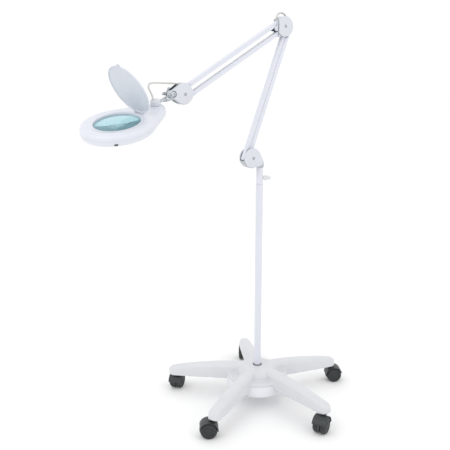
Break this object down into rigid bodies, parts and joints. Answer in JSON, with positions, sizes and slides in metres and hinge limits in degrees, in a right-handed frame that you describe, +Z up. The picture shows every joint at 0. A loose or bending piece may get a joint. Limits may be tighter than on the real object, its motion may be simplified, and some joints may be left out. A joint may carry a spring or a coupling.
{
  "type": "rolling floor magnifying lamp",
  "caption": "Rolling floor-stand magnifying lamp: star base on casters, pole, balanced two-part arm and a ring-lit round lens under a flip-up cover.",
  "frame": {"origin": "centre of the bounding box in X and Y, on the floor under the wheels", "axes": "+Z up along the pole; +X along the reach of the arms, from the elbow towards the head; +Y to the left of a person facing along +X"},
  "size_m": [0.8948, 0.6154, 1.2226],
  "materials": {
    "white_plastic": "moulded, satin gloss, cool white",
    "white_enamel": "baked enamel, cool white, gloss",
    "dark_plastic": "moulded charcoal nylon",
    "wheel_tread": "moulded charcoal, worn tread",
    "chrome": "polished, dark reflections",
    "steel": "bright zinc plated",
    "zinc": "die cast, pale grey, satin",
    "weight_iron": "as cast, dark",
    "lens_glass": "polished crown glass, faint teal",
    "lamp_tube": "phosphor coated fluorescent tube, white",
    "diffuser": "translucent opal acrylic",
    "cable_grey": "PVC lead, light grey beige",
    "collar_dark": "moulded dark grey"
  },
  "bodies": {
    "base": {"star_base": "white_plastic", "weight_cover": "white_plastic", "base_weight": "weight_iron", "base_bolt": "steel", "hub_collar": "collar_dark", "pole_tube": "white_enamel", "pole_sleeve": "white_enamel"},
    "thumb_screw": {"pole_thumb_screw": "zinc"},
    "knuckle": {"knuckle_bracket": "chrome", "knuckle_cover_front": "white_plastic", "knuckle_cover_rear": "white_plastic", "knuckle_cover_screw": "steel"},
    "lower_outer_arm": {"lower_arm_outer_bar": "white_enamel"},
    "lower_inner_arm": {"lower_arm_inner_bar": "white_enamel", "lower_arm_spring": "steel"},
    "elbow": {"elbow_bracket": "chrome", "elbow_cover_front": "white_plastic", "elbow_cover_rear": "white_plastic", "elbow_cover_screw": "steel", "elbow_cable": "cable_grey"},
    "upper_top_arm": {"upper_arm_top_bar": "white_enamel", "upper_arm_spring": "steel"},
    "upper_lower_arm": {"upper_arm_lower_bar": "white_enamel"},
    "yoke": {"yoke_bracket": "chrome", "yoke_cover_front": "white_plastic", "yoke_cover_rear": "white_plastic", "yoke_cover_screw": "steel", "clamp_bolt": "chrome", "head_cable": "cable_grey"},
    "wing_nut": {"wing_nut": "zinc"},
    "clamp": {"clamp_block": "chrome"},
    "neck": {"neck_stem": "chrome", "neck_cylinder": "white_plastic"},
    "head": {"head_top_shell": "white_plastic", "head_lower_shell": "white_plastic", "lens_ring": "white_plastic", "magnifier_lens": "lens_glass", "ring_light_tube": "lamp_tube", "light_diffuser": "diffuser", "lid_hinge_pin": "steel"},
    "lid": {"lens_lid": "white_plastic"},
    "switch": {"power_switch": "dark_plastic"},
    "caster_1": {"caster_1_hood": "dark_plastic"},
    "caster_1_left": {"caster_1_wheel_left": "wheel_tread"},
    "caster_1_right": {"caster_1_wheel_right": "wheel_tread"},
    "caster_2": {"caster_2_hood": "dark_plastic"},
    "caster_2_left": {"caster_2_wheel_left": "wheel_tread"},
    "caster_2_right": {"caster_2_wheel_right": "wheel_tread"},
    "caster_3": {"caster_3_hood": "dark_plastic"},
    "caster_3_left": {"caster_3_wheel_left": "wheel_tread"},
    "caster_3_right": {"caster_3_wheel_right": "wheel_tread"},
    "caster_4": {"caster_4_hood": "dark_plastic"},
    "caster_4_left": {"caster_4_wheel_left": "wheel_tread"},
    "caster_4_right": {"caster_4_wheel_right": "wheel_tread"},
    "caster_5": {"caster_5_hood": "dark_plastic"},
    "caster_5_left": {"caster_5_wheel_left": "wheel_tread"},
    "caster_5_right": {"caster_5_wheel_right": "wheel_tread"}
  },
  "joints": [
    {"name": "caster_1_swivel", "type": "hinge", "parent": "base", "child": "caster_1", "pos_m": [0.12666, 0.12423, 0.055], "axis": [0, 0, 1], "continuous": true},
    {"name": "caster_1_left_spin", "type": "hinge", "parent": "caster_1", "child": "caster_1_left", "pos_m": [0.14225, 0.11523, 0.025], "axis": [0.5, 0.866, 0], "continuous": true},
    {"name": "caster_1_right_spin", "type": "hinge", "parent": "caster_1", "child": "caster_1_right", "pos_m": [0.14225, 0.11523, 0.025], "axis": [0.5, 0.866, 0], "continuous": true},
    {"name": "caster_2_swivel", "type": "hinge", "parent": "base", "child": "caster_2", "pos_m": [-0.16919, 0.26852, 0.055], "axis": [0, 0, 1], "continuous": true},
    {"name": "caster_2_left_spin", "type": "hinge", "parent": "caster_2", "child": "caster_2_left", "pos_m": [-0.15315, 0.27669, 0.025], "axis": [-0.454, 0.891, 0], "continuous": true},
    {"name": "caster_2_right_spin", "type": "hinge", "parent": "caster_2", "child": "caster_2_right", "pos_m": [-0.15315, 0.27669, 0.025], "axis": [-0.454, 0.891, 0], "continuous": true},
    {"name": "caster_3_swivel", "type": "hinge", "parent": "base", "child": "caster_3", "pos_m": [-0.39784, 0.03174, 0.055], "axis": [0, 0, 1], "continuous": true},
    {"name": "caster_3_left_spin", "type": "hinge", "parent": "caster_3", "child": "caster_3_left", "pos_m": [-0.41343, 0.04074, 0.025], "axis": [-0.5, -0.866, 0], "continuous": true},
    {"name": "caster_3_right_spin", "type": "hinge", "parent": "caster_3", "child": "caster_3_right", "pos_m": [-0.41343, 0.04074, 0.025], "axis": [-0.5, -0.866, 0], "continuous": true},
    {"name": "caster_4_swivel", "type": "hinge", "parent": "base", "child": "caster_4", "pos_m": [-0.24331, -0.25889, 0.055], "axis": [0, 0, 1], "continuous": true},
    {"name": "caster_4_left_spin", "type": "hinge", "parent": "caster_4", "child": "caster_4_left", "pos_m": [-0.25389, -0.27345, 0.025], "axis": [0.809, -0.5878, 0], "continuous": true},
    {"name": "caster_4_right_spin", "type": "hinge", "parent": "caster_4", "child": "caster_4_right", "pos_m": [-0.25389, -0.27345, 0.025], "axis": [0.809, -0.5878, 0], "continuous": true},
    {"name": "caster_5_swivel", "type": "hinge", "parent": "base", "child": "caster_5", "pos_m": [0.08085, -0.20173, 0.055], "axis": [0, 0, 1], "continuous": true},
    {"name": "caster_5_left_spin", "type": "hinge", "parent": "caster_5", "child": "caster_5_left", "pos_m": [0.06686, -0.21306, 0.025], "axis": [0.6293, -0.7771, 0], "continuous": true},
    {"name": "caster_5_right_spin", "type": "hinge", "parent": "caster_5", "child": "caster_5_right", "pos_m": [0.06686, -0.21306, 0.025], "axis": [0.6293, -0.7771, 0], "continuous": true},
    {"name": "thumb_screw_turn", "type": "hinge", "parent": "base", "child": "thumb_screw", "pos_m": [-0.13675, 0.00453, 0.734], "axis": [-0.809, 0.5878, 0], "continuous": true},
    {"name": "arm_yaw", "type": "hinge", "parent": "base", "child": "knuckle", "pos_m": [-0.12057, -0.00723, 0.77], "axis": [0, 0, 1], "continuous": true},
    {"name": "lower_arm_pitch", "type": "hinge", "parent": "knuckle", "child": "lower_outer_arm", "pos_m": [-0.07587, -0.00723, 0.8021], "axis": [0, 1, 0], "range_deg": [-22, 50]},
    {"name": "lower_inner_pitch", "type": "hinge", "parent": "knuckle", "child": "lower_inner_arm", "pos_m": [-0.06157, -0.00723, 0.795], "axis": [0, 1, 0], "range_deg": [-22, 50]},
    {"name": "elbow_level", "type": "hinge", "parent": "lower_outer_arm", "child": "elbow", "pos_m": [-0.21707, -0.00723, 1.1671], "axis": [0, 1, 0], "range_deg": [-50, 22]},
    {"name": "upper_arm_pitch", "type": "hinge", "parent": "elbow", "child": "upper_top_arm", "pos_m": [-0.18657, -0.00723, 1.1963], "axis": [0, 1, 0], "range_deg": [-55, 29], "deforming": ["elbow_cable"]},
    {"name": "upper_lower_pitch", "type": "hinge", "parent": "elbow", "child": "upper_lower_arm", "pos_m": [-0.18657, -0.00723, 1.1663], "axis": [0, 1, 0], "range_deg": [-55, 29]},
    {"name": "yoke_level", "type": "hinge", "parent": "upper_top_arm", "child": "yoke", "pos_m": [0.14186, -0.00723, 1.00515], "axis": [0, 1, 0], "range_deg": [-29, 55]},
    {"name": "wing_nut_turn", "type": "hinge", "parent": "yoke", "child": "wing_nut", "pos_m": [0.18143, -0.02323, 0.99], "axis": [0, 1, 0], "continuous": true},
    {"name": "head_tilt", "type": "hinge", "parent": "yoke", "child": "clamp", "pos_m": [0.18143, -0.00723, 0.99], "axis": [0, 1, 0], "range_deg": [-30, 45], "deforming": ["head_cable"]},
    {"name": "neck_roll", "type": "hinge", "parent": "clamp", "child": "neck", "pos_m": [0.23032, -0.00723, 0.96877], "axis": [0.972, 0, -0.2351], "range_deg": [-45, 45]},
    {"name": "head_swivel", "type": "hinge", "parent": "neck", "child": "head", "pos_m": [0.23032, -0.00723, 0.96877], "axis": [0.2291, 0.225, 0.947], "range_deg": [-75, 75]},
    {"name": "lid_hinge", "type": "hinge", "parent": "head", "child": "lid", "pos_m": [0.28391, 0.00219, 0.94692], "axis": [-0.2374, 0.9565, -0.1698], "range_deg": [-20, 72]},
    {"name": "power_switch_press", "type": "slide", "parent": "head", "child": "switch", "axis": [-0.4402, -0.8438, 0.3069], "range_m": [0, 0.0015], "stiffness_N_per_m": 500, "springref_m": -0.0005}
  ],
  "couplings": [
    {"joint": "lower_inner_pitch", "follows": "lower_arm_pitch", "ratio": 1},
    {"joint": "elbow_level", "follows": "lower_arm_pitch", "ratio": -1},
    {"joint": "upper_lower_pitch", "follows": "upper_arm_pitch", "ratio": 1},
    {"joint": "yoke_level", "follows": "upper_arm_pitch", "ratio": -1}
  ]
}
